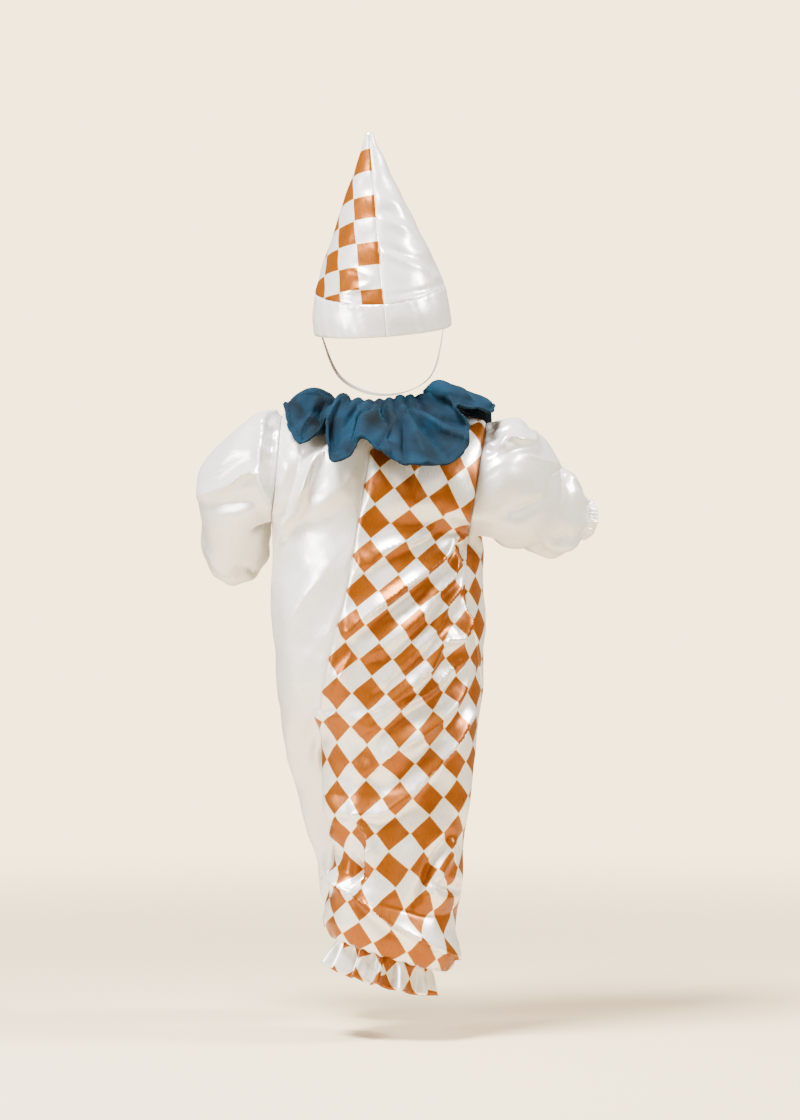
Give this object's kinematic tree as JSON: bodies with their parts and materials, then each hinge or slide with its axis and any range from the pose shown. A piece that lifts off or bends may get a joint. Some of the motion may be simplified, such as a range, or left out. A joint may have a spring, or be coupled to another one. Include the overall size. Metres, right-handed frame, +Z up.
{
  "type": "clown costume",
  "caption": "Toddler's clown costume: satin romper, half white and half ochre check, with puffed sleeves, frilled hems, a velvet ruff and a cone hat on a chin elastic.",
  "frame": {"origin": "middle of the neck opening, where the wearer's neck holds the costume", "axes": "+Z up, +Y the way the wearer faces, +X the wearer's right"},
  "size_m": [0.4259, 0.2831, 0.8826],
  "materials": {
    "white_satin": "glossy white satin",
    "ochre_check_satin": "glossy white satin printed with 25 mm ochre squares",
    "teal_velvet": "dark teal velvet",
    "white_elastic": "flat woven elastic"
  },
  "bodies": {
    "root": {"back_left": "white_satin", "back_right": "ochre_check_satin", "chin_elastic": "white_elastic", "front_left": "white_satin", "front_right": "ochre_check_satin", "hat_band": "white_satin", "hat_cone_left": "ochre_check_satin", "hat_cone_right": "white_satin", "hem_frill_left": "white_satin", "hem_frill_right": "ochre_check_satin", "ruff": "teal_velvet", "sleeve_left": "white_satin", "sleeve_right": "white_satin"}
  },
  "joints": []
}
